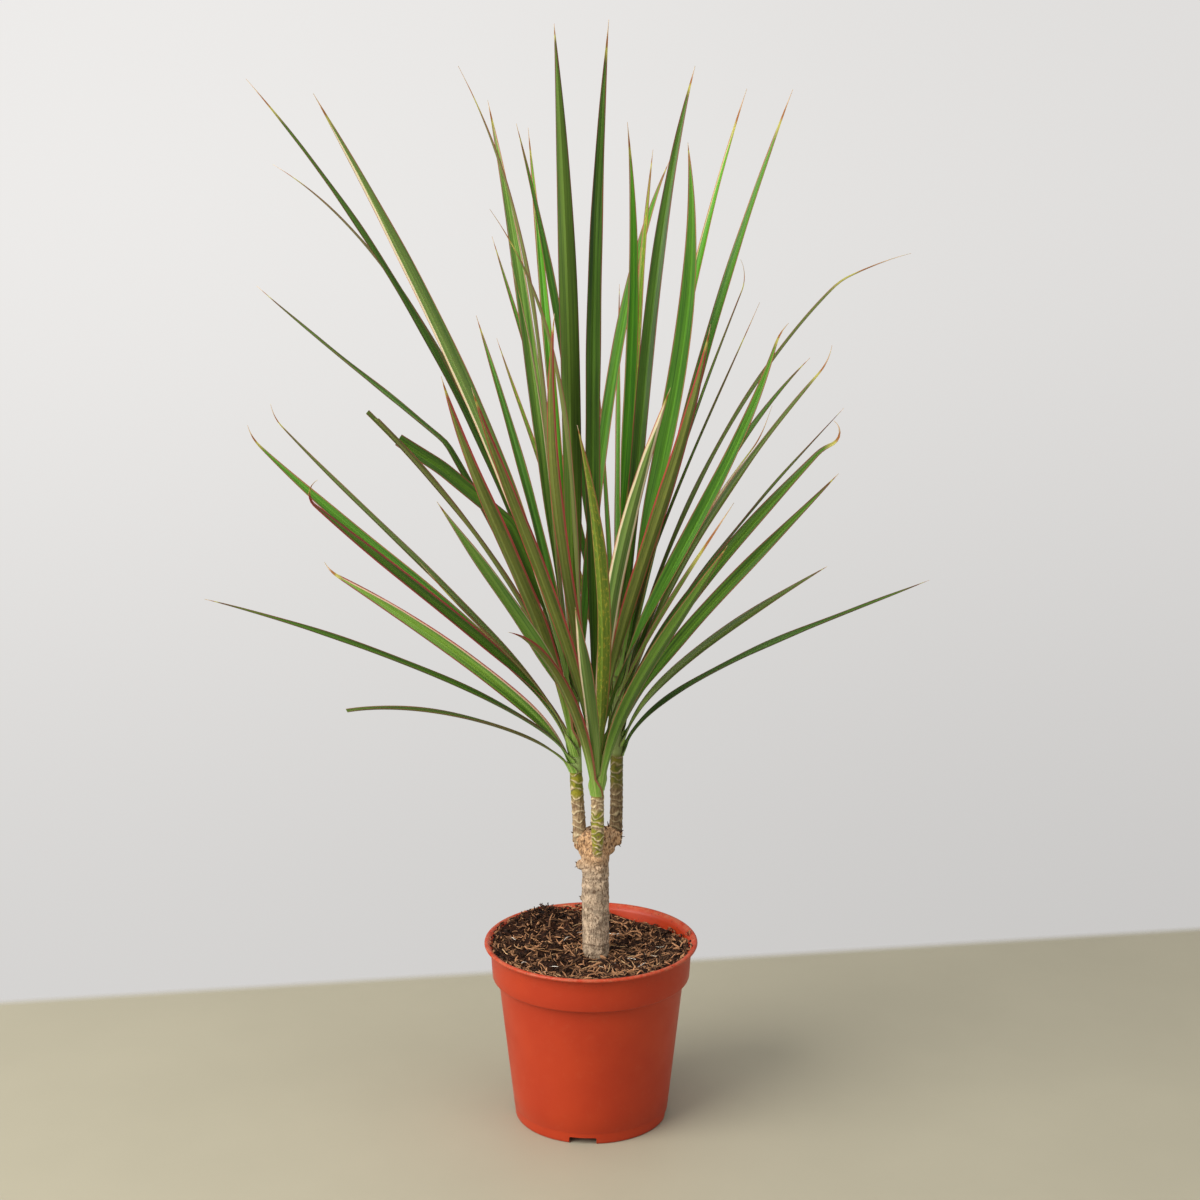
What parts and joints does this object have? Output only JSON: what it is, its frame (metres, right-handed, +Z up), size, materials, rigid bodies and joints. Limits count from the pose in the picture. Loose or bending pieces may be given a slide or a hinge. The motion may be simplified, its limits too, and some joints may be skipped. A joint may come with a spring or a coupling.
{
  "type": "potted dragon tree",
  "caption": "Dragon tree houseplant: a woody cane with branching shoots, each crowned by long, narrow, pointed leaves, in a tapered nursery pot of potting mix.",
  "frame": {"origin": "on the pot's axis, on the surface that the foot ring stands on", "axes": "+Z up along the cane, towards the leaf tips; the pot's visible foot notch faces -Y, the front"},
  "size_m": [0.4279, 0.3125, 0.6509],
  "materials": {
    "terracotta_plastic": "satin",
    "coir_mix": "matte",
    "cane_bark": "matte",
    "shoot_bark": "matte",
    "leaf_green": "satin"
  },
  "bodies": {
    "root": {"pot": "terracotta_plastic", "potting_mix": "coir_mix", "cane": "cane_bark", "shoot_left": "shoot_bark", "leaf_left_01": "leaf_green", "leaf_left_02": "leaf_green", "leaf_left_03": "leaf_green", "leaf_left_04": "leaf_green", "leaf_left_05": "leaf_green", "leaf_left_06": "leaf_green", "leaf_left_07": "leaf_green", "leaf_left_08": "leaf_green", "leaf_left_09": "leaf_green", "leaf_left_10": "leaf_green", "leaf_left_11": "leaf_green", "leaf_left_12": "leaf_green", "leaf_left_13": "leaf_green", "leaf_left_14": "leaf_green", "leaf_left_15": "leaf_green", "leaf_left_16": "leaf_green", "leaf_left_17": "leaf_green", "leaf_left_18": "leaf_green", "leaf_left_19": "leaf_green", "leaf_left_20": "leaf_green", "shoot_front": "shoot_bark", "leaf_front_01": "leaf_green", "leaf_front_02": "leaf_green", "leaf_front_03": "leaf_green", "leaf_front_04": "leaf_green", "leaf_front_05": "leaf_green", "leaf_front_06": "leaf_green", "leaf_front_07": "leaf_green", "leaf_front_08": "leaf_green", "leaf_front_09": "leaf_green", "leaf_front_10": "leaf_green", "leaf_front_11": "leaf_green", "leaf_front_12": "leaf_green", "leaf_front_13": "leaf_green", "leaf_front_14": "leaf_green", "leaf_front_15": "leaf_green", "shoot_right": "shoot_bark", "leaf_right_01": "leaf_green", "leaf_right_02": "leaf_green", "leaf_right_03": "leaf_green", "leaf_right_04": "leaf_green", "leaf_right_05": "leaf_green", "leaf_right_06": "leaf_green", "leaf_right_07": "leaf_green", "leaf_right_08": "leaf_green", "leaf_right_09": "leaf_green", "leaf_right_10": "leaf_green", "leaf_right_11": "leaf_green", "leaf_right_12": "leaf_green", "leaf_right_13": "leaf_green", "leaf_right_14": "leaf_green", "leaf_right_15": "leaf_green", "leaf_right_16": "leaf_green", "leaf_right_17": "leaf_green", "leaf_right_18": "leaf_green", "leaf_right_19": "leaf_green"}
  },
  "joints": []
}
